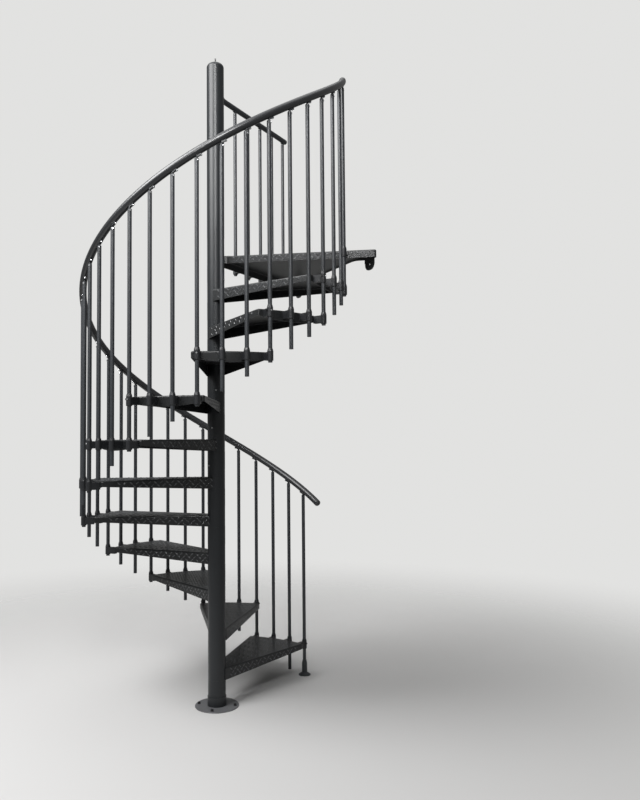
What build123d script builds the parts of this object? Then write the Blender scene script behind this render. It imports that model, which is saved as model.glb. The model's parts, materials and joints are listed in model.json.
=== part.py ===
"""A steel spiral stair: eleven folded treads and a landing around one column, with a helical rail."""
import os
from math import atan, cos, degrees, radians, sin, sqrt, tan

from build123d import *

os.makedirs("parts", exist_ok=True)

# Flight: millimetres, degrees counter-clockwise seen from above
tread_count = 11
rise = 225
turn = 360 / 13
baluster_circle = 780
balusters_per_tread = 3

# Treads folded from sheet steel
sheet = 3
rim_gap = 60
nosing_lap = 42
nosing_hub_clearance = 1
rear_lap = 30
hub_side_depth = 70
nosing_depth = 34
rim_depth = 57
rear_depth = 31
nosing_start = 22
corner_radius = 12
bend_radius = 8
trim_margin = 6

# Column
column_radius = 52.5
column_wall = 4
hub_step = 0.5
hub_stub = 50
landing_stub = 100
column_top_height = 1185
cap_height = 34
cap_round = 26
cap_spigot = 20
spigot_clearance = 0.3
rod_radius = 5
rod_showing = 35
rod_clearance = 0.3

# Base plate
base_radius = 130
base_thick = 6
base_edge_round = 2
collar_wall = 3
collar_height = 54
collar_clearance = 0.3
bolt_count = 4
bolt_circle_radius = 110
bolt_hole_radius = 6
bolt_turn = 55

# Baluster tubes, their end plugs and their clamps
baluster_radius = 11
baluster_wall = 1.5
baluster_overhang = 58
plug_flange = 2
plug_depth = 12
plug_clearance = 0.2
clamp_radius = 16
clamp_lip_wall = 1.2
clamp_lip_height = 14
clamp_height = 63
clamp_rise = 11.5
clamp_round = 3
clamp_clearance = 0.3
neck_width = 26
neck_height = 40
neck_drop = 5

# Foot of the first baluster
foot_radius = 40
foot_thick = 5
foot_cone_top = 20
sleeve_radius = 17.5
sleeve_lip_radius = 13
sleeve_lip_height = 22
sleeve_top = 100

# Handrail and the stems that carry it
rail_radius = 21
rail_height = 1232
rail_start_over = 10
rail_end_over = 5.5
rail_sections = 4
rail_cap_rim = 1
rail_cap_round = 13
stem_gap = 16
stem_radius = 6
stem_cap_thick = 4
saddle_width = 15
saddle_length = 32
saddle_thick = 6
saddle_round = 3
saddle_clearance = 0.3

# Landing
landing_half_angle = 34
landing_reach = 836
landing_front_gap = 43
landing_front_clearance = 7
landing_far_lap = 50
landing_depth = 46
slab_edge_depth = 12
slab_edge_level = 50
slab_edge_curve = 270
slab_bracket_width = 100
slab_bracket_drop = 62
slab_bracket_round = 40
slab_bracket_thick = 6
slab_bracket_inset = 88
slab_bracket_tab = 34
slab_bolt_radius = 7
slab_bolt_rise = 34

# Landing rail along the far edge
landing_rail_height = 1050
landing_rail_radius = 17
landing_rail_end = 985
landing_rail_bend = 120
landing_rail_bend_start = 190
landing_rail_round = 9
landing_baluster_count = 5
landing_baluster_first = 330
landing_baluster_last = 940
landing_neck = 30
landing_stem_gap = 13
rosette_radius = 27
rosette_thick = 8

# Worked out from the sizes above
landing_level = rise * (tread_count + 1)
landing_link_angle = -landing_half_angle
first_angle = landing_link_angle - tread_count * turn
spacer_bore = column_radius - column_wall
hub_radius = column_radius - hub_step
hub_bore = hub_radius - column_wall
tread_radius = baluster_circle - rim_gap
nosing_hub_lap = hub_radius + nosing_hub_clearance
landing_front_start = hub_radius + landing_front_clearance
baluster_step = turn / balusters_per_tread
baluster_bore = baluster_radius - baluster_wall
baluster_top = rail_height - rail_radius - stem_gap
clamp_lip_radius = baluster_radius + clamp_clearance + clamp_lip_wall
rail_cap_length = rail_cap_round + rail_cap_rim
slope = degrees(atan(rise / (radians(turn) * baluster_circle)))
column_end = landing_level + column_top_height
rail_start = first_angle - rail_start_over
rail_end = landing_link_angle + rail_end_over


def direction(angle):
    """Unit vector in plan at an angle."""
    return Vector(cos(radians(angle)), sin(radians(angle)), 0)


def turned_plane(angle, height):
    """Level plane through the column's axis, its X along the angle."""
    return Plane(origin=(0, 0, height), x_dir=direction(angle), z_dir=(0, 0, 1))


def link_line(angle):
    """Height of the line that climbs one rise per tread, zero at the first baluster."""
    return rise * (angle - first_angle) / turn


def edge_plane(angle, offset):
    """Upright plane beside a line from the axis, its Y up and its normal back towards the line."""
    across = direction(angle + 90)
    return Plane(origin=across * offset, x_dir=direction(angle), z_dir=-across)


def baluster_seat(place, height):
    """Level plane on a baluster's axis, X outward, at a height above the link line."""
    angle = first_angle + place * baluster_step
    centre = direction(angle) * baluster_circle + Vector(0, 0, link_line(angle) + height)
    return Plane(origin=centre, x_dir=direction(angle), z_dir=(0, 0, 1))


def clamp_seat(place, level):
    """Level plane on a baluster's axis, X outward, at the top of the tread that clamps it."""
    angle = first_angle + place * baluster_step
    return Plane(origin=direction(angle) * baluster_circle + Vector(0, 0, level), x_dir=direction(angle))


def rail_plane(angle):
    """Plane across the handrail at an angle, its normal pointing up the flight."""
    centre = direction(angle) * baluster_circle + Vector(0, 0, link_line(angle) + rail_height)
    climb = direction(angle + 90) * cos(radians(slope)) + Vector(0, 0, sin(radians(slope)))
    return Plane(origin=centre, x_dir=direction(angle), z_dir=climb)


def export(builder, name):
    """Label the piece and write its file."""
    builder.part.label = name
    export_step(builder.part, f"parts/{name}.step")


def fold_pan(block):
    """Round a block's outer corners and upper edges and hollow it from below into a sheet pan."""
    upright = block.edges().filter_by(Axis.Z)
    fillet(upright.filter_by(lambda edge: edge.center().length > tread_radius / 2), radius=corner_radius)
    upper = block.faces().sort_by(Axis.Z)[-1].edges()
    fillet(upper.filter_by(lambda edge: edge.center().length > 2 * hub_radius), radius=bend_radius)
    offset(amount=-sheet, openings=block.faces().sort_by(Axis.Z)[0])


def landing_block(inset):
    """Solid of the landing's outline, drawn in by an inset for the inner skin of its sheet."""
    edge = landing_reach - inset
    near = edge * half_tan - (landing_front_gap + inset) / half_cos
    far = edge * half_tan + (landing_far_lap - inset) / half_cos
    back = hub_radius if inset else 0
    front_start = landing_front * (landing_front_start - back)
    with BuildPart() as block:
        with BuildSketch(Plane.XY.offset(-inset)):
            Polygon(
                front_start + landing_front_inward * (landing_front_gap + inset),
                (edge, -near),
                (edge, far),
                far_outward * (landing_far_lap - inset) - far_along * back,
                align=None,
            )
        extrude(amount=inset - landing_depth)
        fillet(block.edges().filter_by(Axis.Z).sort_by(Axis.X)[-2:], radius=corner_radius - inset)
        upper = block.faces().sort_by(Axis.Z)[-1].edges()
        fillet(upper.filter_by(lambda rim: rim.center().length > 2 * hub_radius), radius=bend_radius - inset)
    return block.part


def clamp_form(neck):
    """Clamp around a baluster, with the neck that comes from a rim or flange, at the tread's top."""
    low = clamp_rise - clamp_height
    with BuildPart() as clamp:
        with BuildSketch(Plane.XZ):
            Polygon(
                (0, low),
                (clamp_radius, low),
                (clamp_radius, clamp_rise - clamp_lip_height),
                (clamp_lip_radius, clamp_rise),
                (0, clamp_rise),
                align=None,
            )
        revolve(axis=Axis.Z)
        fillet(clamp.edges().filter_by(GeomType.CIRCLE).sort_by(Axis.Z)[0], radius=clamp_round)
        with BuildSketch(Plane.XY.offset(-neck_drop)):
            Rectangle(neck, neck_width, align=(Align.MAX, Align.CENTER))
        extrude(amount=-neck_height)
        with BuildSketch(Plane.XY.offset(low)):
            Circle(baluster_radius + clamp_clearance)
        extrude(amount=clamp_height, mode=Mode.SUBTRACT)
    return clamp.part


def stem_form(tube_top, rail_axis, radius, tilt):
    """Stem in a baluster's top end, with the saddle under a rail that climbs at a tilt."""
    along = Vector(0, cos(radians(tilt)), sin(radians(tilt)))
    down = Vector(0, sin(radians(tilt)), -cos(radians(tilt)))
    centre = Vector(0, 0, rail_axis)
    plug_radius = baluster_bore - plug_clearance
    with BuildPart() as stem:
        with BuildSketch(Plane.XZ):
            Polygon(
                (0, tube_top - plug_depth),
                (plug_radius, tube_top - plug_depth),
                (plug_radius, tube_top),
                (baluster_radius, tube_top),
                (stem_radius, tube_top + stem_cap_thick),
                (stem_radius, rail_axis),
                (0, rail_axis),
                align=None,
            )
        revolve(axis=Axis.Z)
        with BuildSketch(Plane(origin=centre, x_dir=(1, 0, 0), z_dir=down)):
            RectangleRounded(saddle_width, saddle_length, saddle_round)
        extrude(amount=radius + saddle_thick)
        with BuildSketch(Plane(origin=centre - along * saddle_length, x_dir=(-1, 0, 0), z_dir=along)):
            Circle(radius + saddle_clearance)
            with Locations((0, radius)):
                Rectangle(2 * radius, 2 * radius)
        extrude(amount=2 * saddle_length, mode=Mode.SUBTRACT)
    return stem.part


def make_balusters(number):
    """A tread's three baluster tubes, whose ends follow the climb of the flight."""
    places = [(number - 1) * balusters_per_tread + step for step in range(balusters_per_tread)]
    seats = [baluster_seat(place, -baluster_overhang) for place in places if place > 0]
    with BuildPart() as balusters:
        with BuildSketch(*seats):
            Circle(baluster_radius)
            Circle(baluster_bore, mode=Mode.SUBTRACT)
        extrude(amount=baluster_overhang + baluster_top)
        if number == 1:
            with BuildSketch(baluster_seat(0, foot_thick)):
                Circle(baluster_radius)
                Circle(baluster_bore, mode=Mode.SUBTRACT)
            extrude(amount=baluster_top - foot_thick)
    export(balusters, f"balusters_{number:02d}")


def make_handrail(section):
    """One stretch of the helical handrail."""
    span = (rail_end - rail_start) / rail_sections
    low = rail_start + section * span
    helix = Helix(pitch=rise * 360 / turn, height=rise * span / turn, radius=baluster_circle)
    route = turned_plane(low, link_line(low) + rail_height).location * helix
    with BuildPart() as handrail:
        with BuildSketch(rail_plane(low)):
            Circle(rail_radius)
        sweep(path=route, is_frenet=True)
    export(handrail, f"handrail_{section + 1}")


# Base plate with its collar and bolt holes
with BuildPart() as base_plate:
    with BuildSketch():
        Circle(base_radius)
    extrude(amount=base_thick)
    fillet(base_plate.edges().sort_by(Axis.Z)[-1], radius=base_edge_round)
    with BuildSketch(Plane.XY.offset(base_thick)):
        Circle(column_radius + collar_clearance + collar_wall)
        Circle(column_radius + collar_clearance, mode=Mode.SUBTRACT)
    extrude(amount=collar_height)
    with BuildSketch():
        with PolarLocations(bolt_circle_radius, bolt_count, start_angle=bolt_turn):
            Circle(bolt_hole_radius)
    extrude(amount=base_thick, mode=Mode.SUBTRACT)
export(base_plate, "base_plate")

# Spacer tubes between the hubs
with BuildPart() as column_spacers:
    for number in range(tread_count + 1):
        low = number * rise + hub_stub if number else base_thick
        high = (number + 1) * rise - hub_side_depth
        with BuildSketch(Plane.XY.offset(low)):
            Circle(column_radius)
            Circle(spacer_bore, mode=Mode.SUBTRACT)
        extrude(amount=high - low)
export(column_spacers, "column_spacers")

# Upper column tube above the landing
with BuildPart() as column_top:
    with BuildSketch(Plane.XY.offset(landing_level + landing_stub)):
        Circle(column_radius)
        Circle(spacer_bore, mode=Mode.SUBTRACT)
    extrude(amount=column_end - cap_height - landing_level - landing_stub)
export(column_top, "column_top")

# Domed cap that the tie rod clamps down
with BuildPart() as column_cap:
    with BuildSketch(Plane.XY.offset(column_end - cap_height)):
        Circle(column_radius)
    extrude(amount=cap_height)
    fillet(column_cap.edges().sort_by(Axis.Z)[-1], radius=cap_round)
    with BuildSketch(Plane.XY.offset(column_end - cap_height)):
        Circle(spacer_bore - spigot_clearance)
    extrude(amount=-cap_spigot)
    with BuildSketch(Plane.XY.offset(column_end)):
        Circle(rod_radius + rod_clearance)
    extrude(amount=-cap_height - cap_spigot, mode=Mode.SUBTRACT)
export(column_cap, "column_cap")

# Tie rod that stands on the base plate and runs through the whole column
with BuildPart() as tie_rod:
    with BuildSketch(Plane.XY.offset(base_thick)):
        Circle(rod_radius)
    extrude(amount=column_end + rod_showing - base_thick)
export(tie_rod, "tie_rod")

# One folded tread, its link line along X and its top at zero
front_reach = sqrt(tread_radius ** 2 - nosing_lap ** 2)
rear_reach = sqrt(tread_radius ** 2 - rear_lap ** 2)
rear_along = direction(turn)
rear_across = direction(turn + 90)
middle = direction(turn / 2)
front_corner = Vector(front_reach, -nosing_lap)
rear_corner = rear_along * rear_reach + rear_across * rear_lap
front_half = front_reach * sin(radians(turn / 2)) + nosing_lap * cos(radians(turn / 2))
rear_half = rear_reach * sin(radians(turn / 2)) + rear_lap * cos(radians(turn / 2))
rim_inside = front_corner.dot(middle) - corner_radius
trim_low = -hub_side_depth - trim_margin
trim_end = tread_radius + trim_margin
with BuildPart() as folded_tread:
    with BuildSketch():
        with BuildLine():
            ThreePointArc(front_corner, middle * tread_radius, rear_corner)
            Polyline(rear_corner, rear_across * rear_lap, (nosing_start, -nosing_hub_lap), front_corner)
        make_face()
    extrude(amount=-hub_side_depth)
    fold_pan(folded_tread)
    with BuildSketch(Plane.XZ.offset(nosing_lap - trim_margin)):
        Polygon(
            (nosing_start, -hub_side_depth),
            (front_reach, -nosing_depth),
            (trim_end, -nosing_depth),
            (trim_end, trim_low),
            (nosing_start, trim_low),
            align=None,
        )
    extrude(amount=nosing_hub_lap - nosing_lap + 2 * trim_margin, mode=Mode.SUBTRACT)
    with BuildSketch(edge_plane(turn, rear_lap + trim_margin)):
        Polygon(
            (0, -hub_side_depth),
            (rear_reach, -rear_depth),
            (trim_end, -rear_depth),
            (trim_end, trim_low),
            (0, trim_low),
            align=None,
        )
    extrude(amount=2 * trim_margin, mode=Mode.SUBTRACT)
    with BuildSketch(Plane(origin=middle * rim_inside, x_dir=direction(turn / 2 + 90), z_dir=middle)):
        with BuildLine():
            ThreePointArc((-front_half, -nosing_depth), (0, -rim_depth), (rear_half, -rear_depth))
            Polyline(
                (rear_half, -rear_depth),
                (rear_half + trim_margin, -rear_depth),
                (rear_half + trim_margin, trim_low),
                (-front_half - trim_margin, trim_low),
                (-front_half - trim_margin, -nosing_depth),
                (-front_half, -nosing_depth),
            )
        make_face()
    extrude(amount=trim_end - rim_inside, mode=Mode.SUBTRACT)
    with BuildSketch(Plane.XY.offset(-hub_side_depth)):
        Circle(hub_radius)
    extrude(amount=hub_side_depth + hub_stub)
    with BuildSketch(Plane.XY.offset(-hub_side_depth)):
        Circle(hub_bore)
    extrude(amount=hub_side_depth + hub_stub, mode=Mode.SUBTRACT)

for number in range(1, tread_count + 1):
    link = first_angle + (number - 1) * turn
    with BuildPart() as tread:
        with Locations(turned_plane(link, number * rise)):
            add(folded_tread.part)
    export(tread, f"tread_{number:02d}")
    make_balusters(number)

# Landing, folded like a tread, with a curved edge against the slab
landing_front = direction(-landing_half_angle)
landing_front_inward = direction(90 - landing_half_angle)
far_along = direction(landing_half_angle)
far_outward = direction(landing_half_angle + 90)
half_tan = tan(radians(landing_half_angle))
half_cos = cos(radians(landing_half_angle))
near_side = landing_reach * half_tan - landing_front_gap / half_cos
far_side = landing_reach * half_tan + landing_far_lap / half_cos
slab_face = Plane(origin=(landing_reach, 0, 0), x_dir=(0, 1, 0), z_dir=(1, 0, 0))
near_curve = slab_edge_level - near_side
far_curve = far_side - slab_edge_level
with BuildPart() as landing_form:
    add(landing_block(0))
    add(landing_block(sheet), mode=Mode.SUBTRACT)
    with BuildSketch(slab_face.offset(trim_margin)):
        with BuildLine():
            Spline(
                (near_curve, -landing_depth),
                (near_curve + slab_edge_curve, -slab_edge_depth),
                tangents=[(1, 0), (1, 0)],
            )
            Line(
                (near_curve + slab_edge_curve, -slab_edge_depth),
                (far_curve - slab_edge_curve, -slab_edge_depth),
            )
            Spline(
                (far_curve - slab_edge_curve, -slab_edge_depth),
                (far_curve, -landing_depth),
                tangents=[(1, 0), (1, 0)],
            )
            Polyline(
                (far_curve, -landing_depth),
                (far_curve, -landing_depth - trim_margin),
                (near_curve, -landing_depth - trim_margin),
                (near_curve, -landing_depth),
            )
        make_face()
    extrude(amount=-sheet - 2 * trim_margin, mode=Mode.SUBTRACT)
    with BuildSketch(Plane.XY.offset(-hub_side_depth)):
        Circle(hub_radius)
    extrude(amount=hub_side_depth + landing_stub)
    with BuildSketch(Plane.XY.offset(-hub_side_depth)):
        Circle(hub_bore)
    extrude(amount=hub_side_depth + landing_stub, mode=Mode.SUBTRACT)
with BuildPart() as landing:
    with Locations(Plane.XY.offset(landing_level)):
        add(landing_form.part)
export(landing, "landing")

# Joggled lugs behind the landing's edge, which bolt it to the slab
bracket_top = landing_level - landing_depth
with BuildPart() as slab_brackets:
    for centre in (slab_bracket_inset - near_side, far_side - slab_bracket_inset):
        with BuildSketch(slab_face.offset(-sheet)):
            with Locations((centre, bracket_top)):
                Rectangle(slab_bracket_width, slab_bracket_tab)
        extrude(amount=-slab_bracket_thick)
        with BuildSketch(slab_face) as lug:
            with Locations((centre, bracket_top)):
                Rectangle(slab_bracket_width, slab_bracket_drop, align=(Align.CENTER, Align.MAX))
            fillet(lug.vertices().sort_by(Axis.Y)[:2], radius=slab_bracket_round)
            with Locations((centre, bracket_top - slab_bracket_drop + slab_bolt_rise)):
                Circle(slab_bolt_radius, mode=Mode.SUBTRACT)
        extrude(amount=-slab_bracket_thick)
export(slab_brackets, "slab_brackets")

# Last baluster, which links the landing to the top tread
last_place = tread_count * balusters_per_tread
with BuildPart() as top_baluster:
    with BuildSketch(baluster_seat(last_place, -baluster_overhang)):
        Circle(baluster_radius)
        Circle(baluster_bore, mode=Mode.SUBTRACT)
    extrude(amount=baluster_overhang + baluster_top)
export(top_baluster, "top_baluster")

# Balusters along the landing's far edge
far_line = far_outward * (landing_far_lap + landing_neck) + Vector(0, 0, landing_level)
landing_pitch = (landing_baluster_last - landing_baluster_first) / (landing_baluster_count - 1)
landing_reaches = [landing_baluster_first + landing_pitch * step for step in range(landing_baluster_count)]
landing_seats = [Plane(origin=far_line + far_along * reach, x_dir=far_outward) for reach in landing_reaches]
landing_tube_top = landing_rail_height - landing_rail_radius - landing_stem_gap
with BuildPart() as landing_balusters:
    with BuildSketch(*[seat.offset(-baluster_overhang) for seat in landing_seats]):
        Circle(baluster_radius)
        Circle(baluster_bore, mode=Mode.SUBTRACT)
    extrude(amount=baluster_overhang + landing_tube_top)
export(landing_balusters, "landing_balusters")

# Plugs in the lower ends of the tubes
plug_seats = [baluster_seat(place, -baluster_overhang) for place in range(1, last_place + 1)]
plug_seats += [seat.offset(-baluster_overhang) for seat in landing_seats]
with BuildPart() as baluster_plugs:
    with BuildSketch(*plug_seats):
        Circle(baluster_radius)
    extrude(amount=-plug_flange)
    with BuildSketch(*plug_seats):
        Circle(baluster_bore - plug_clearance)
    extrude(amount=plug_depth)
export(baluster_plugs, "baluster_plugs")

# Clamps: four along each tread's rim, five on the far flange and one on the landing's front flange
rim_seats = [
    clamp_seat((number - 1) * balusters_per_tread + step, number * rise)
    for number in range(1, tread_count + 1)
    for step in range(balusters_per_tread + 1)
]
link_centre = direction(landing_link_angle) * baluster_circle + Vector(0, 0, landing_level)
rim_clamp = clamp_form(rim_gap)
far_clamp = clamp_form(landing_neck)
front_clamp = clamp_form(landing_front_gap)
with BuildPart() as baluster_clamps:
    with Locations(*rim_seats):
        add(rim_clamp)
    with Locations(*landing_seats):
        add(far_clamp)
    with Locations(Plane(origin=link_centre, x_dir=-landing_front_inward)):
        add(front_clamp)
export(baluster_clamps, "baluster_clamps")

# Floor foot of the first baluster, with its tapered sleeve
with BuildPart() as foot_form:
    with BuildSketch(Plane.XZ):
        Polygon(
            (0, 0),
            (foot_radius, 0),
            (foot_radius, foot_thick),
            (sleeve_radius, foot_cone_top),
            (sleeve_radius, sleeve_top - sleeve_lip_height),
            (sleeve_lip_radius, sleeve_top),
            (0, sleeve_top),
            align=None,
        )
    revolve(axis=Axis.Z)
    with BuildSketch(Plane.XY.offset(foot_thick)):
        Circle(baluster_radius + clamp_clearance)
    extrude(amount=sleeve_top - foot_thick, mode=Mode.SUBTRACT)
with BuildPart() as baluster_foot:
    with Locations(baluster_seat(0, 0)):
        add(foot_form.part)
export(baluster_foot, "baluster_foot")

for section in range(rail_sections):
    make_handrail(section)

# Domed caps on both ends of the handrail
with BuildPart() as handrail_end_caps:
    for seat, length in ((rail_plane(rail_start), -rail_cap_length), (rail_plane(rail_end), rail_cap_length)):
        with BuildSketch(seat):
            Circle(rail_radius)
        cap = extrude(amount=length)
        outer = cap.edges().filter_by(GeomType.CIRCLE).sort_by(Axis(seat.origin, seat.z_dir * length))[-1]
        fillet(outer, radius=rail_cap_round)
export(handrail_end_caps, "handrail_end_caps")

# Stems on the tubes' upper ends, each with a saddle under its rail
flight_stem = stem_form(baluster_top, rail_height, rail_radius, slope)
landing_stem = stem_form(landing_tube_top, landing_rail_height, landing_rail_radius, 0)
with BuildPart() as rail_stems:
    with Locations(*[baluster_seat(place, 0) for place in range(last_place + 1)]):
        add(flight_stem)
    with Locations(*landing_seats):
        add(landing_stem)
export(rail_stems, "rail_stems")

# Landing rail, which bends in to the column, and the rosette that it ends on
rail_base = far_line + Vector(0, 0, landing_rail_height)
bend_corner = rail_base + far_along * landing_rail_bend_start
radial = Vector(bend_corner.X, bend_corner.Y, 0).normalized()
column_point = radial * (column_radius + rosette_thick) + Vector(0, 0, rail_base.Z)
rail_tip = rail_base + far_along * landing_rail_end
route = FilletPolyline(column_point, bend_corner, rail_tip, radius=landing_rail_bend)
with BuildPart() as landing_rail:
    with BuildSketch(Plane(origin=column_point, z_dir=radial)):
        Circle(landing_rail_radius)
    sweep(path=route)
    tip = landing_rail.edges().filter_by(GeomType.CIRCLE).sort_by(Axis(column_point, far_along))[-1]
    fillet(tip, radius=landing_rail_round)
export(landing_rail, "landing_rail")

with BuildPart() as landing_rail_bracket:
    with BuildSketch(Plane(origin=Vector(0, 0, rail_base.Z), z_dir=radial)):
        Circle(rosette_radius)
    extrude(amount=column_radius + rosette_thick)
    with BuildSketch(Plane.XY.offset(rail_base.Z - rosette_radius)):
        Circle(column_radius)
    extrude(amount=2 * rosette_radius, mode=Mode.SUBTRACT)
export(landing_rail_bracket, "landing_rail_bracket")
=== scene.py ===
"""Looks for the spiral stair: powder-coated steel, screws and embossing, in soft studio light."""

import json
import math

import bmesh
import bpy
from mathutils import Matrix, Vector


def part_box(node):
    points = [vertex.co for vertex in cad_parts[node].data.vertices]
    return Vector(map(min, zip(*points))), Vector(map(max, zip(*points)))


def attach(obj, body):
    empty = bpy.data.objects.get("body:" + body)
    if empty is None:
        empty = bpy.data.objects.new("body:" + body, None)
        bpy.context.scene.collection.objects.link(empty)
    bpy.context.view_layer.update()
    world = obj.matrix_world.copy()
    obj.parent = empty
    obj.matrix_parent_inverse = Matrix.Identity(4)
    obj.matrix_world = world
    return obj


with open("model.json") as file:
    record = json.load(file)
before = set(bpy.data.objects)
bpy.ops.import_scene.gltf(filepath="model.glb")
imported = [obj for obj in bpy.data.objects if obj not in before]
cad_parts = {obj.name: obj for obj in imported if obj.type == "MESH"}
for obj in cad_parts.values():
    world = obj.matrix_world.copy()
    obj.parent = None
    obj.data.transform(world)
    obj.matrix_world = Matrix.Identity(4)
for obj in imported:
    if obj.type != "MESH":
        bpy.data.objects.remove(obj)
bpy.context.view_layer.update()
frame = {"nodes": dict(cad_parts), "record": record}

# Layout of the flight, in metres and radians in the row's frame
TREADS = 11
TREADS_IN_CIRCLE = 13
PER_TREAD = 3
RISE = 0.225
TURN = math.radians(360 / TREADS_IN_CIRCLE)
LANDING_LINK = math.radians(-34)
FIRST_LINK = LANDING_LINK - TREADS * TURN
LANDING_LEVEL = RISE * (TREADS + 1)
LANDING_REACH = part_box("landing")[1].x
COLUMN_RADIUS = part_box("column_top")[1].x
BALUSTER_CIRCLE = 0.78
RIM_GAP = 0.06
TREAD_RADIUS = BALUSTER_CIRCLE - RIM_GAP
RAIL_HEIGHT = 1.232
RAIL_RADIUS = 0.021
CLAMP_RADIUS = 0.016
TUBE_RADIUS = 0.011
TUBE_TOP = 1.195
SADDLE_THICK = 0.006
BASE_THICK = 0.006
UP = Vector((0, 0, 1))

# Flat faces that carry embossing: start, end, the face's offset there, and the flange's depth there
NOSING = ((0.022, -0.053, 0.070), (0.7188, -0.042, 0.034))
REAR = ((0.0, 0.030, 0.070), (0.7194, 0.030, 0.031))
LANDING_FRONT = ((0.059, 0.043, 0.046), (0.979, 0.043, 0.046))
LANDING_FAR = ((0.060, 0.050, 0.046), (1.042, 0.050, 0.046))

# Small fasteners and the rims and centres of the flange holes, each with its radius and its height; the
# rims' lighter coat is a painted highlight and the dark centres are painted shade
WASHER = (0.0105, 0.0020)
BASE_HEAD = (0.0090, 0.0095)
SET_SCREW = (0.0042, 0.0022)
CORNER_SCREW = (0.0046, 0.0028)
SADDLE_SCREW = (0.0060, 0.0045)
TUBE_SCREW = (0.0052, 0.0038)
CORNER_BOLT = (0.0075, 0.0070)
HOLE_RIM = (0.0085, 0.0018)
HOLE_SHADE = (0.0055, 0.0008)
HEAD_TAPER = 0.85
SCREW_SIDES = 16
ROUND_SIDES = 24
HEX_SIDES = 6

# How far they start under their faces, and how far over it a hole's dark disc of painted shade starts
SCREW_SINK = 0.0008
SADDLE_SCREW_SINK = 0.0006
CORNER_BOLT_SINK = 0.001
HOLE_RIM_SINK = 0.0006
HOLE_SHADE_OUT = 0.0008

# Places of the fasteners and of the flange holes
BASE_BOLTS = 4
BASE_BOLT_TURN = math.radians(55)
BASE_BOLT_CIRCLE = 0.11
SET_SCREW_TURN = math.radians(34)
SET_SCREW_LIFT = 0.069
CORNER_SCREW_DROP = 0.018
CORNER_BOLT_DROP = 0.016
SADDLE_SCREW_SHIFT = 0.0105
TUBE_SCREW_DROP = 0.008
TUBE_SCREW_OUTWARD = 0.6
TUBE_SCREW_ALONG = 0.8
HOLE_REACH = 0.655
HOLE_OFFSET = 0.043
HOLE_DROP = 0.018

# One tear-drop of the embossing, and the pattern of its rows
DROP_SIDES = 10
DROP_LENGTH = 0.025
DROP_WIDTH = 0.0078
DROP_HEIGHT = 0.0022
DROP_SINK = 0.0003
DROP_CROWN = 0.38
DROP_TAPER = 0.35
DROP_PITCH = 0.036
DROP_ROW = 0.0175
DROP_TILT = math.radians(38)

# Plain edges round the embossing, and rows and columns enough for the landing, which is the largest top
FLANGE_ROWS = 4
FLANGE_SPARE = 0.08
FLANGE_START = 0.045
FLANGE_END = 0.03
FLANGE_BEND = 0.0085
FLANGE_FIRST_ROW = 0.0065
FLANGE_LIP = 0.0075
TOP_MARGIN = 0.022
TOP_COLUMNS = 30
TOP_ROWS = range(-4, 62)

# Patterns inside the finishes: clouds and speckles of tone, a fine grain and the spread of the sheen
CLOUD_SCALE = 6.0
CLOUD_DETAIL = 5.0
SPECKLE_SCALE = 110.0
SPECKLE_DETAIL = 3.0
GRAIN_DETAIL = 2.0
GRAIN_DEPTH = 0.0004
TONE_START = 0.38
TONE_END = 0.62
SHEEN_SPREAD = 0.12

# The column's own finish, which the treads' hubs and the base plate's collar share within a reach
COLUMN_COLOUR = (0.013, 0.015, 0.017)
COLUMN_ROUGHNESS = 0.36
COLUMN_BUMP = 0.1
HUB_REACH = 0.0535
COLLAR_REACH = 0.0565

# Sockets of a mix node, which repeats them for each kind of data
MIX_FACTOR = 0
FLOAT_A, FLOAT_B, FLOAT_RESULT = 2, 3, 0
COLOUR_A, COLOUR_B, COLOUR_RESULT = 6, 7, 2

# Camera fitted to the photograph, in the row's frame
PHOTO_TURN = math.radians(20.10)
CAMERA_DISTANCE = 4.487
CAMERA_HEIGHT = 1.573
CAMERA_YAW = math.radians(5.05)
CAMERA_PITCH = math.radians(2.62)
CAMERA_ROLL = math.radians(-0.39)
FOCAL_PIXELS = 741.4
PRINCIPAL_X = 281.6
PRINCIPAL_Y = 405.4
WIDE_PIXELS = 640
HIGH_PIXELS = 800
SENSOR_WIDTH = 36.0
TOWARDS_EYE = -math.pi / 2 - PHOTO_TURN

# Floor of the stage, and the backdrop's colour and strengths as it is seen, mirrored and shining
FLOOR_COLOUR = (0.68, 0.675, 0.67)
FLOOR_ROUGHNESS = 0.8
FLOOR_SIDES = 64
FLOOR_SINK = 0.0005
FLOOR_CLEAR = 0.9
FLOOR_EDGE = 5.5
BACKDROP_COLOUR = (0.80, 0.80, 0.79)
BACKDROP_SEEN = 0.95
BACKDROP_MIRRORED = 0.30
BACKDROP_FILL = 0.14


def new_material(name):
    """An empty node material with its principled shader."""
    made = bpy.data.materials.new(name)
    made.use_nodes = True
    return made, made.node_tree.nodes, made.node_tree.links, made.node_tree.nodes["Principled BSDF"]


def add_noise(nodes, links, place, scale, detail):
    """A noise pattern over an object's own coordinates."""
    noise = nodes.new("ShaderNodeTexNoise")
    noise.inputs["Scale"].default_value = scale
    noise.inputs["Detail"].default_value = detail
    links.new(place.outputs["Object"], noise.inputs["Vector"])
    return noise


def add_distance(nodes, links, vector):
    """The length of a vector."""
    distance = nodes.new("ShaderNodeVectorMath")
    distance.operation = "LENGTH"
    links.new(vector, distance.inputs[0])
    return distance.outputs["Value"]


def add_multiply_add(nodes, factor, addend=0.0):
    """A node that takes its input times a factor, plus an addend."""
    made = nodes.new("ShaderNodeMath")
    made.operation = "MULTIPLY_ADD"
    made.inputs[1].default_value = factor
    made.inputs[2].default_value = addend
    return made


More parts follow.
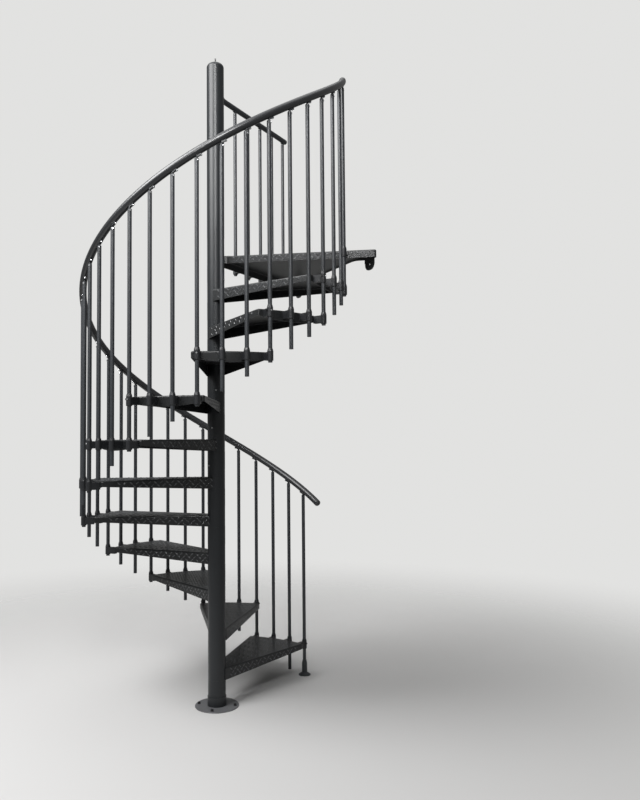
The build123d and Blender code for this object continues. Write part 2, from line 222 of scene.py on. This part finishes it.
def near_column(nodes, links, place, reach):
    """Mask that is 1 on what lies around the column and 0 beyond a reach from its axis."""
    flat = nodes.new("ShaderNodeVectorMath")
    flat.operation = "MULTIPLY"
    flat.inputs[1].default_value = (1, 1, 0)
    links.new(place.outputs["Object"], flat.inputs[0])
    mask = nodes.new("ShaderNodeMath")
    mask.operation = "LESS_THAN"
    mask.inputs[1].default_value = reach
    links.new(add_distance(nodes, links, flat.outputs["Vector"]), mask.inputs[0])
    return mask.outputs["Value"]


def join_column_finish(nodes, links, mask, tint, gloss, bump, relief):
    """Tint, gloss and strength of grain that turn into the column's own where a mask is 1."""
    swap = nodes.new("ShaderNodeMix")
    swap.data_type = "RGBA"
    links.new(mask, swap.inputs[MIX_FACTOR])
    links.new(tint, swap.inputs[COLOUR_A])
    swap.inputs[COLOUR_B].default_value = (*COLUMN_COLOUR, 1)
    even = nodes.new("ShaderNodeMix")
    links.new(mask, even.inputs[MIX_FACTOR])
    links.new(gloss, even.inputs[FLOAT_A])
    even.inputs[FLOAT_B].default_value = COLUMN_ROUGHNESS
    smooth = add_multiply_add(nodes, COLUMN_BUMP - bump, bump)
    links.new(mask, smooth.inputs[0])
    links.new(smooth.outputs["Value"], relief.inputs["Strength"])
    return swap.outputs[COLOUR_RESULT], even.outputs[FLOAT_RESULT]


def coated(
    name,
    colour,
    roughness,
    metallic=0.0,
    grain=900.0,
    bump=0.1,
    cloud=0.12,
    mottle=0.3,
    specular=0.5,
    hub=0.0,
):
    """A finish with faint clouds and speckles of tone, a fine grain and a slightly uneven sheen.

    A hub reach turns what lies nearer the column's axis into the column's own finish.
    """
    made, nodes, links, shader = new_material(name)
    place = nodes.new("ShaderNodeTexCoord")
    clouds = add_noise(nodes, links, place, CLOUD_SCALE, CLOUD_DETAIL)
    fine = add_noise(nodes, links, place, grain, GRAIN_DETAIL)
    speckle = add_noise(nodes, links, place, SPECKLE_SCALE, SPECKLE_DETAIL)
    blend = nodes.new("ShaderNodeMix")
    blend.inputs[MIX_FACTOR].default_value = mottle
    links.new(clouds.outputs["Fac"], blend.inputs[FLOAT_A])
    links.new(speckle.outputs["Fac"], blend.inputs[FLOAT_B])
    tone = nodes.new("ShaderNodeValToRGB")
    dark, light = tone.color_ramp.elements
    dark.position = TONE_START
    light.position = TONE_END
    dark.color = (*[c * (1 - cloud) for c in colour], 1)
    light.color = (*[c * (1 + cloud) for c in colour], 1)
    links.new(blend.outputs[FLOAT_RESULT], tone.inputs["Fac"])
    tint = tone.outputs["Color"]
    sheen = nodes.new("ShaderNodeMapRange")
    sheen.inputs["To Min"].default_value = roughness * (1 - SHEEN_SPREAD)
    sheen.inputs["To Max"].default_value = min(1.0, roughness * (1 + SHEEN_SPREAD))
    links.new(clouds.outputs["Fac"], sheen.inputs["Value"])
    gloss = sheen.outputs["Result"]
    relief = nodes.new("ShaderNodeBump")
    relief.inputs["Strength"].default_value = bump
    relief.inputs["Distance"].default_value = GRAIN_DEPTH
    links.new(fine.outputs["Fac"], relief.inputs["Height"])
    if hub:
        mask = near_column(nodes, links, place, hub)
        tint, gloss = join_column_finish(nodes, links, mask, tint, gloss, bump, relief)
    links.new(tint, shader.inputs["Base Color"])
    links.new(gloss, shader.inputs["Roughness"])
    links.new(relief.outputs["Normal"], shader.inputs["Normal"])
    shader.inputs["Metallic"].default_value = metallic
    shader.inputs["Specular IOR Level"].default_value = specular
    return made


# Finishes, one per material slot
FINISHES = {
    "tread_coat": coated(
        "tread_coat",
        colour=(0.013, 0.014, 0.0148),
        roughness=0.33,
        grain=300.0,
        bump=0.9,
        cloud=0.30,
        mottle=0.8,
        specular=0.45,
        hub=HUB_REACH,
    ),
    "column_coat": coated(
        "column_coat",
        colour=COLUMN_COLOUR,
        roughness=COLUMN_ROUGHNESS,
        bump=COLUMN_BUMP,
        cloud=0.04,
        specular=0.45,
    ),
    "base_coat": coated(
        "base_coat",
        colour=(0.13, 0.132, 0.138),
        roughness=0.42,
        bump=0.15,
        hub=COLLAR_REACH,
    ),
    "baluster_coat": coated(
        "baluster_coat",
        colour=(0.022, 0.025, 0.029),
        roughness=0.42,
        bump=0.05,
        cloud=0.06,
        mottle=0.0,
        specular=0.6,
    ),
    "clamp_plastic": coated(
        "clamp_plastic",
        colour=(0.012, 0.013, 0.015),
        roughness=0.40,
        bump=0.15,
    ),
    "handrail_plastic": coated(
        "handrail_plastic",
        colour=(0.013, 0.014, 0.016),
        roughness=0.34,
        bump=0.0,
        cloud=0.05,
        mottle=0.0,
        specular=0.8,
    ),
    "zinc_rod": coated(
        "zinc_rod",
        colour=(0.10, 0.10, 0.10),
        roughness=0.45,
        metallic=1.0,
        bump=0.1,
    ),
}

# Finishes of the small pieces made here; the tear-drops' lighter colour is a painted glint and the flange
# holes' black discs are painted shade
SCREW_STEEL = coated(
    "screw_steel",
    colour=(0.85, 0.86, 0.87),
    roughness=0.22,
    metallic=1.0,
    bump=0.05,
)
# The tear-drops are the treads' own powder coat; this lighter, glossier colour on them is a painted glint
# on their raised slopes
EMBOSS_PAINTED_GLINT = coated(
    "emboss_painted_glint",
    colour=(0.048, 0.051, 0.055),
    roughness=0.30,
    bump=0.1,
    specular=0.9,
)
# Black steel for the floor and clamp bolts, used also for the dark discs of painted shade in the flange
# holes
BLACK_STEEL_AND_HOLE_SHADE = coated(
    "black_steel_and_hole_shade",
    colour=(0.006, 0.006, 0.007),
    roughness=0.45,
    bump=0.1,
)

node_slots = {row["node"]: row["material_slot"] for row in frame["record"]["subparts"]}
for node, piece in frame["nodes"].items():
    piece.data.materials.clear()
    piece.data.materials.append(FINISHES[node_slots[node]])


def direction(angle):
    """Unit vector in plan at an angle."""
    return Vector((math.cos(angle), math.sin(angle), 0))


def crosswise(angle):
    """Unit vector in plan a quarter turn counter-clockwise of an angle."""
    return direction(angle + math.pi / 2)


def at_level(height):
    """Vector straight up to a height."""
    return Vector((0, 0, height))


def tread_angle(number):
    """Plan angle of the link line where a tread starts; the landing follows as one more."""
    return FIRST_LINK + (number - 1) * TURN


def link_place(place):
    """Point of the climbing link line under a baluster, and its outward direction."""
    outward = direction(FIRST_LINK + place * TURN / PER_TREAD)
    return outward * BALUSTER_CIRCLE + at_level(RISE * place / PER_TREAD), outward


def add_piece(name, build, material):
    """A joined mesh that rides on the stair, filled in by a function."""
    mesh = bpy.data.meshes.new(name)
    shape = bmesh.new()
    build(shape)
    shape.to_mesh(mesh)
    shape.free()
    piece = bpy.data.objects.new(name, mesh)
    bpy.context.scene.collection.objects.link(piece)
    mesh.materials.append(material)
    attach(piece, "root")


def add_disc(shape, origin, axis, size, sides=SCREW_SIDES):
    """A closed boss of a radius and a height that stands up from a face along an axis."""
    radius, height = size
    stand = axis.to_track_quat("Z", "Y").to_matrix().to_4x4()
    bmesh.ops.create_cone(
        shape,
        cap_ends=True,
        segments=sides,
        radius1=radius,
        radius2=radius * HEAD_TAPER,
        depth=height,
        matrix=Matrix.Translation(origin) @ stand @ Matrix.Translation(at_level(height / 2)),
    )


def build_base_bolts(shape):
    """Washers and six-sided heads of the four floor bolts."""
    _, washer_height = WASHER
    for corner in range(BASE_BOLTS):
        spoke = direction(BASE_BOLT_TURN + corner * 2 * math.pi / BASE_BOLTS)
        place = spoke * BASE_BOLT_CIRCLE + at_level(BASE_THICK)
        add_disc(shape, place, UP, WASHER, ROUND_SIDES)
        add_disc(shape, place + at_level(washer_height), UP, BASE_HEAD, HEX_SIDES)


def build_column_screws(shape):
    """The small set screw above each tread's hub and the landing's."""
    for number in range(1, TREADS + 2):
        facing = direction(tread_angle(number) + SET_SCREW_TURN)
        place = facing * (COLUMN_RADIUS - SCREW_SINK) + at_level(number * RISE + SET_SCREW_LIFT)
        add_disc(shape, place, facing, SET_SCREW)


def build_clamp_screws(shape):
    """Screws on the clamps at the treads' front corners, under the rail and at the tops of the tubes."""
    for place in range(TREADS * PER_TREAD + 1):
        foot, outward = link_place(place)
        if place % PER_TREAD == 0:
            tread_top = (place / PER_TREAD + 1) * RISE
            corner = Vector((foot.x, foot.y, tread_top - CORNER_SCREW_DROP))
            add_disc(shape, corner + outward * (CLAMP_RADIUS - SCREW_SINK), outward, CORNER_SCREW)
        climbing = Vector((-outward.y, outward.x, 0))
        slope = (climbing * TURN * BALUSTER_CIRCLE + at_level(RISE)).normalized()
        under = slope.cross(outward).normalized()
        rail = foot + at_level(RAIL_HEIGHT) + slope * SADDLE_SCREW_SHIFT
        saddle = rail + under * (RAIL_RADIUS + SADDLE_THICK - SADDLE_SCREW_SINK)
        add_disc(shape, saddle, under, SADDLE_SCREW)
        facing = (outward * TUBE_SCREW_OUTWARD + climbing * TUBE_SCREW_ALONG).normalized()
        tube = foot + at_level(TUBE_TOP - TUBE_SCREW_DROP)
        add_disc(shape, tube + facing * (TUBE_RADIUS - SCREW_SINK), facing, TUBE_SCREW)


def build_clamp_bolts(shape):
    """Dark bolt heads on the lower side of the clamps at the treads' front corners."""
    for number in range(1, TREADS + 1):
        foot, outward = link_place((number - 1) * PER_TREAD)
        facing = Vector((outward.y, -outward.x, 0))
        corner = Vector((foot.x, foot.y, number * RISE - CORNER_BOLT_DROP))
        face = corner + facing * (CLAMP_RADIUS - CORNER_BOLT_SINK)
        add_disc(shape, face, facing, CORNER_BOLT, HEX_SIDES)


def flange_holes():
    """Where each nosing flange is pierced near its outer end, and the way that it faces."""
    for number in range(1, TREADS + 1):
        angle = tread_angle(number)
        outward = -crosswise(angle)
        level = at_level(number * RISE - HOLE_DROP)
        yield direction(angle) * HOLE_REACH + outward * HOLE_OFFSET + level, outward


def build_flange_rim_highlights(shape):
    """The raised rims of the holes in the nosing flanges; their lighter coat is a painted highlight on the
    holes' edges.
    """
    for place, outward in flange_holes():
        add_disc(shape, place - outward * HOLE_RIM_SINK, outward, HOLE_RIM, ROUND_SIDES)


def build_flange_hole_shade(shape):
    """Dark discs of painted shade in the openings of the holes in the nosing flanges."""
    for place, outward in flange_holes():
        add_disc(shape, place + outward * HOLE_SHADE_OUT, outward, HOLE_SHADE, ROUND_SIDES)


def add_drop(shape, place):
    """A closed low tear-drop that stands on a face."""
    rings = []
    for reach, lift in ((1.0, -DROP_SINK), (DROP_CROWN, DROP_HEIGHT)):
        ring = []
        for step in range(DROP_SIDES):
            angle = 2 * math.pi * step / DROP_SIDES
            along = DROP_LENGTH / 2 * math.cos(angle) * reach
            across = DROP_WIDTH / 2 * math.sin(angle) * (1 - DROP_TAPER * math.cos(angle)) * reach
            ring.append(shape.verts.new(place @ Vector((along, across, lift))))
        rings.append(ring)
    low, high = rings
    shape.faces.new(list(reversed(low)))
    shape.faces.new(high)
    for step in range(DROP_SIDES):
        after = (step + 1) % DROP_SIDES
        shape.faces.new((low[step], low[after], high[after], high[step]))


def drop_tilt(column, row):
    """Slant of a tear-drop, which changes side from one to the next."""
    return DROP_TILT if (column + row) % 2 else -DROP_TILT


def drop_reach(column, row):
    """How far along its row a tear-drop lies; every second row is shifted by half a pitch."""
    return (column + 0.5 * (row % 2)) * DROP_PITCH


def emboss_flange(shape, angle, top, ends, side):
    """Rows of tear-drops on an upright flange; side is +1 or -1, where the flange faces across the line."""
    (start, start_offset, start_depth), (end, end_offset, end_depth) = ends
    first = direction(angle) * start + crosswise(angle) * start_offset
    last = direction(angle) * end + crosswise(angle) * end_offset
    length = (last - first).length
    run = (last - first).normalized()
    outward = Vector((run.y, -run.x, 0)) * -side
    face = Matrix((run, outward.cross(run), outward)).transposed().to_4x4()
    for column in range(int((length - FLANGE_SPARE) / DROP_PITCH)):
        for row in range(FLANGE_ROWS):
            reach = FLANGE_START + drop_reach(column, row)
            depth = start_depth + (end_depth - start_depth) * reach / length
            drop = FLANGE_BEND + FLANGE_FIRST_ROW + row * DROP_ROW
            if drop <= depth - FLANGE_LIP and reach <= length - FLANGE_END:
                origin = Matrix.Translation(first + run * reach + at_level(top - drop))
                add_drop(shape, origin @ face @ Matrix.Rotation(drop_tilt(column, row), 4, "Z"))


def build_embossing(shape):
    """Tear-drops on the folded flanges of the treads and the landing."""
    for number in range(1, TREADS + 1):
        angle = tread_angle(number)
        emboss_flange(shape, angle, number * RISE, NOSING, -1)
        emboss_flange(shape, angle + TURN, number * RISE, REAR, 1)
    emboss_flange(shape, LANDING_LINK, LANDING_LEVEL, LANDING_FRONT, -1)
    emboss_flange(shape, -LANDING_LINK, LANDING_LEVEL, LANDING_FAR, 1)


def on_tread(place, angle):
    """Whether a place lies on the top of the tread that starts at an angle, clear of bends and hub."""
    (start, start_offset, _), (end, end_offset, _) = NOSING
    (_, rear_offset, _), _ = REAR
    along = place.dot(direction(angle))
    nosing = start_offset + (end_offset - start_offset) * (along - start) / (end - start)
    return (
        place.dot(crosswise(angle)) > nosing + TOP_MARGIN
        and place.dot(crosswise(angle + TURN)) < rear_offset - TOP_MARGIN
        and COLUMN_RADIUS + TOP_MARGIN < place.length < TREAD_RADIUS - TOP_MARGIN
    )


def on_landing(place, angle):
    """Whether a place lies on the landing's top, clear of its bends, its hub and the slab's edge."""
    (_, front_offset, _), _ = LANDING_FRONT
    (_, far_offset, _), _ = LANDING_FAR
    return (
        place.dot(crosswise(angle)) > front_offset + TOP_MARGIN
        and place.dot(crosswise(-angle)) < far_offset - TOP_MARGIN
        and place.x < LANDING_REACH - TOP_MARGIN
        and place.length > COLUMN_RADIUS + TOP_MARGIN
    )


def emboss_top(shape, angle, level, on_sheet):
    """Rows of tear-drops over a level top, wherever a test says that a place lies on its sheet."""
    for row in TOP_ROWS:
        for column in range(TOP_COLUMNS):
            along = direction(angle) * drop_reach(column, row)
            place = along + crosswise(angle) * row * DROP_ROW
            if on_sheet(place, angle):
                origin = Matrix.Translation(place + at_level(level))
                add_drop(shape, origin @ Matrix.Rotation(angle + drop_tilt(column, row), 4, "Z"))


def build_top_embossing(shape):
    """Tear-drops on the tops of the treads and the landing."""
    for number in range(1, TREADS + 1):
        emboss_top(shape, tread_angle(number), number * RISE, on_tread)
    emboss_top(shape, LANDING_LINK, LANDING_LEVEL, on_landing)


add_piece("base_bolts", build_base_bolts, BLACK_STEEL_AND_HOLE_SHADE)
add_piece("column_screws", build_column_screws, SCREW_STEEL)
add_piece("clamp_screws", build_clamp_screws, SCREW_STEEL)
add_piece("clamp_bolts", build_clamp_bolts, BLACK_STEEL_AND_HOLE_SHADE)
# Raised rims of the flange holes in a lighter coat, a painted highlight on their edges
add_piece("flange_rim_highlights", build_flange_rim_highlights, FINISHES["baluster_coat"])
# Dark discs of painted shade in the flange holes
add_piece("flange_hole_shade", build_flange_hole_shade, BLACK_STEEL_AND_HOLE_SHADE)
add_piece("embossing", build_embossing, EMBOSS_PAINTED_GLINT)
add_piece("top_embossing", build_top_embossing, EMBOSS_PAINTED_GLINT)

# Floor for the stage only, pale under the stair and fading out into the backdrop
bpy.ops.mesh.primitive_circle_add(
    vertices=FLOOR_SIDES,
    radius=FLOOR_EDGE,
    fill_type="NGON",
    location=(0, 0, -FLOOR_SINK),
)
floor = bpy.context.object
floor.name = "studio_floor"
floor_paint, nodes, links, shader = new_material("floor_paint")
shader.inputs["Base Color"].default_value = (*FLOOR_COLOUR, 1)
shader.inputs["Roughness"].default_value = FLOOR_ROUGHNESS
floor_place = nodes.new("ShaderNodeTexCoord")
fade = nodes.new("ShaderNodeMapRange")
fade.interpolation_type = "SMOOTHSTEP"
fade.inputs["From Min"].default_value = FLOOR_CLEAR
fade.inputs["From Max"].default_value = FLOOR_EDGE
fade.inputs["To Min"].default_value = 1.0
fade.inputs["To Max"].default_value = 0.0
links.new(add_distance(nodes, links, floor_place.outputs["Object"]), fade.inputs["Value"])
links.new(fade.outputs["Result"], shader.inputs["Alpha"])
floor.data.materials.append(floor_paint)

# Camera
view_angle = math.pi / 2 - CAMERA_YAW - PHOTO_TURN
forward = direction(view_angle) * math.cos(CAMERA_PITCH) + at_level(math.sin(CAMERA_PITCH))
level_right = direction(view_angle - math.pi / 2)
level_up = level_right.cross(forward)
right = level_right * math.cos(CAMERA_ROLL) + level_up * math.sin(CAMERA_ROLL)
up = level_up * math.cos(CAMERA_ROLL) - level_right * math.sin(CAMERA_ROLL)
lens = bpy.data.cameras.new("camera")
lens.sensor_width = SENSOR_WIDTH
lens.lens = FOCAL_PIXELS * SENSOR_WIDTH / HIGH_PIXELS
lens.shift_x = (WIDE_PIXELS / 2 - PRINCIPAL_X) / HIGH_PIXELS
lens.shift_y = (PRINCIPAL_Y - HIGH_PIXELS / 2) / HIGH_PIXELS
camera = bpy.data.objects.new("camera", lens)
facing = Matrix((right, up, -forward)).transposed().to_4x4()
eye = direction(TOWARDS_EYE) * CAMERA_DISTANCE + at_level(CAMERA_HEIGHT)
camera.matrix_world = Matrix.Translation(eye) @ facing
bpy.context.scene.collection.objects.link(camera)
bpy.context.scene.camera = camera


def area_light(name, side, away, height, aim, width, length, power, spread=180):
    """A soft panel light aimed at a height on the column's axis; angles are in degrees.

    Side is its angle round the stair from the camera, and spread is the width of its beam.
    """
    data = bpy.data.lights.new(name, "AREA")
    data.shape = "RECTANGLE"
    data.size = width
    data.size_y = length
    data.energy = power
    data.spread = math.radians(spread)
    lamp = bpy.data.objects.new(name, data)
    lamp.location = direction(TOWARDS_EYE + math.radians(side)) * away + at_level(height)
    lamp.rotation_mode = "QUATERNION"
    lamp.rotation_quaternion = (at_level(aim) - lamp.location).to_track_quat("-Z", "Y")
    bpy.context.scene.collection.objects.link(lamp)


# A broad key panel high on the left, a narrow window for the column's sheen and a dim top panel
area_light("key_light", side=-58, away=3.6, height=5.4, aim=1.2, width=3.4, length=3.4, power=420)
area_light("window", side=-3, away=4.0, height=5.1, aim=3.0, width=0.9, length=2.8, power=20, spread=50)
area_light("top_light", side=0, away=0.0, height=7.0, aim=0.0, width=5.0, length=5.0, power=80)

# Backdrop: pale to the camera, dim in reflections and dimmer still as fill, so that shadows stay deep
world = bpy.data.worlds.new("studio")
world.use_nodes = True
bpy.context.scene.world = world
sky = world.node_tree
seen_by = sky.nodes.new("ShaderNodeLightPath")
seen_part = add_multiply_add(sky.nodes, BACKDROP_SEEN - BACKDROP_FILL, BACKDROP_FILL)
mirrored_part = add_multiply_add(sky.nodes, BACKDROP_MIRRORED - BACKDROP_FILL)
backdrop = sky.nodes["Background"]
backdrop.inputs["Color"].default_value = (*BACKDROP_COLOUR, 1)
sky.links.new(seen_by.outputs["Is Camera Ray"], seen_part.inputs[0])
sky.links.new(seen_by.outputs["Is Glossy Ray"], mirrored_part.inputs[0])
sky.links.new(seen_part.outputs["Value"], mirrored_part.inputs[2])
sky.links.new(mirrored_part.outputs["Value"], backdrop.inputs["Strength"])

bpy.context.scene.view_settings.view_transform = "Standard"
